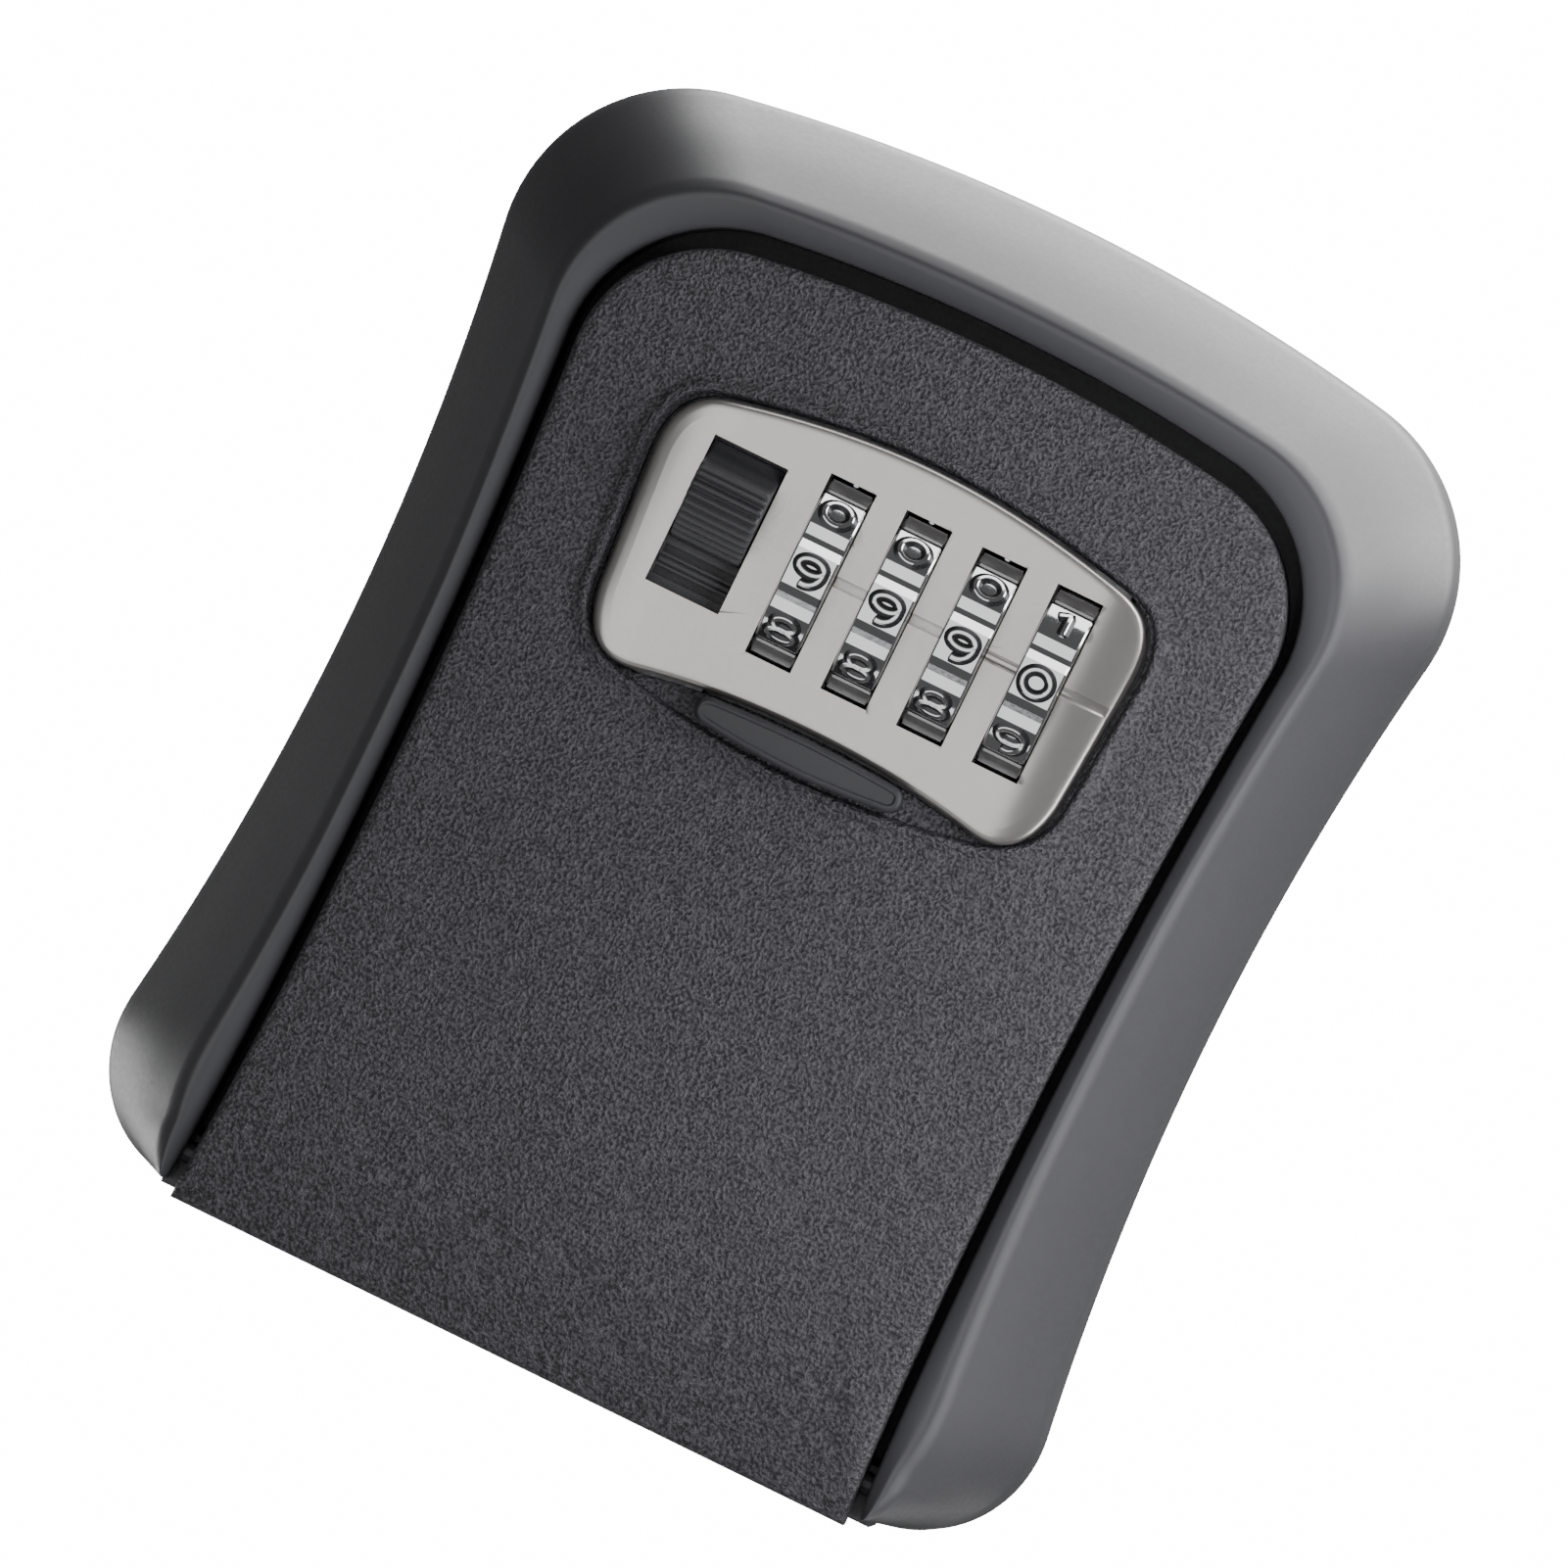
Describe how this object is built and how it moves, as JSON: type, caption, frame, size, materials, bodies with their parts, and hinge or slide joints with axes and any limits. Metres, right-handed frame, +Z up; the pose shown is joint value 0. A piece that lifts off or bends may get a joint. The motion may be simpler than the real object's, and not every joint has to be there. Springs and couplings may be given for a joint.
{
  "type": "wall-mounted key lock box",
  "caption": "Wall-mounted key lock box: flared satin frame, pebbled drop-down door, light dial plate with number wheels, black open lever and a finger lip.",
  "frame": {"origin": "middle of the flat back face that lies on the wall", "axes": "+Z up, -Y out of the wall towards the user, +X to the user's right"},
  "size_m": [0.097, 0.04, 0.1193],
  "materials": {
    "frame_paint": "smooth satin black-grey paint on die-cast zinc",
    "door_powder_coat": "fine pebbled dark grey powder coat",
    "plate_plastic": "satin light warm grey moulding",
    "black_plastic": "moulded black plastic",
    "chrome": "bright chrome plate",
    "steel": "zinc-plated steel",
    "brass": "turned brass",
    "rubber": "soft black rubber"
  },
  "bodies": {
    "housing": {"outer_frame": "frame_paint", "rear_case": "frame_paint", "door_seal": "rubber", "strike_plate": "steel", "strike_rivet_right": "steel", "strike_rivet_left": "steel", "key_hook": "steel", "hinge_pin_right": "steel", "hinge_pin_left": "steel", "case_screw_1": "steel", "case_screw_2": "steel", "case_screw_3": "steel", "case_screw_4": "steel"},
    "door": {"door_shell": "door_powder_coat", "dial_plate": "plate_plastic", "finger_lip": "black_plastic", "wheel_carrier": "steel", "wheel_axle": "steel", "axle_clip": "steel", "detent_spring": "steel", "module_cover": "steel", "lever_spring": "steel", "module_screw_1": "steel", "module_screw_2": "steel", "module_screw_3": "steel", "module_screw_4": "steel"},
    "lever": {"open_lever": "black_plastic", "latch_plate": "steel", "lever_rivet_1": "steel", "lever_rivet_2": "steel"},
    "wheel_1": {"number_wheel_1": "chrome", "code_sleeve_1": "brass"},
    "wheel_2": {"number_wheel_2": "chrome", "code_sleeve_2": "brass"},
    "wheel_3": {"number_wheel_3": "chrome", "code_sleeve_3": "brass"},
    "wheel_4": {"number_wheel_4": "chrome", "code_sleeve_4": "brass"},
    "reset": {"reset_lever": "black_plastic"}
  },
  "joints": [
    {"name": "door_hinge", "type": "hinge", "parent": "housing", "child": "door", "pos_m": [0, -0.0268, -0.055], "axis": [1, 0, 0], "range_deg": [0, 95]},
    {"name": "lever_slide", "type": "slide", "parent": "door", "child": "lever", "axis": [0, 0, -1], "range_m": [0, 0.0045], "stiffness_N_per_m": 400, "springref_m": -0.003, "deforming": ["lever_spring"]},
    {"name": "wheel_1_turn", "type": "hinge", "parent": "door", "child": "wheel_1", "pos_m": [-0.00645, -0.0276, 0.01925], "axis": [1, 0, 0], "continuous": true},
    {"name": "wheel_2_turn", "type": "hinge", "parent": "door", "child": "wheel_2", "pos_m": [0.0014, -0.0276, 0.01925], "axis": [1, 0, 0], "continuous": true},
    {"name": "wheel_3_turn", "type": "hinge", "parent": "door", "child": "wheel_3", "pos_m": [0.00925, -0.0276, 0.01925], "axis": [1, 0, 0], "continuous": true},
    {"name": "wheel_4_turn", "type": "hinge", "parent": "door", "child": "wheel_4", "pos_m": [0.0171, -0.0276, 0.01925], "axis": [1, 0, 0], "continuous": true},
    {"name": "reset_slide", "type": "slide", "parent": "door", "child": "reset", "axis": [1, 0, 0], "range_m": [0, 0.005]}
  ]
}
